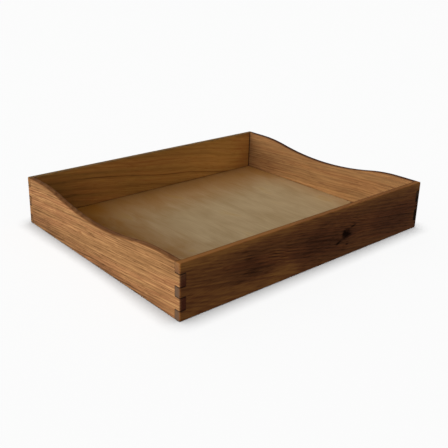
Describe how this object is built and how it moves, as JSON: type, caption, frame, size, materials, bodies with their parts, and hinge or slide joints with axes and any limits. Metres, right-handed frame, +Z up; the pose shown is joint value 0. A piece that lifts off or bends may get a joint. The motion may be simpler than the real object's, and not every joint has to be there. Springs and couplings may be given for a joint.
{
  "type": "letter tray",
  "caption": "Shallow open wooden desk tray for letters and paper, with box-jointed corners, scooped end boards and a plywood base held in a groove.",
  "frame": {"origin": "on the table, under the middle of the tray's footprint", "axes": "+X along the straight front and back boards, +Y from the front board to the back board, +Z up"},
  "size_m": [0.34, 0.278, 0.054],
  "materials": {
    "oiled_oak": "oiled satin",
    "birch_plywood": "sanded, thin oil"
  },
  "bodies": {
    "root": {"front_board": "oiled_oak", "back_board": "oiled_oak", "left_side_board": "oiled_oak", "right_side_board": "oiled_oak", "base_face_ply": "birch_plywood", "base_core_ply": "birch_plywood", "base_back_ply": "birch_plywood"}
  },
  "joints": []
}
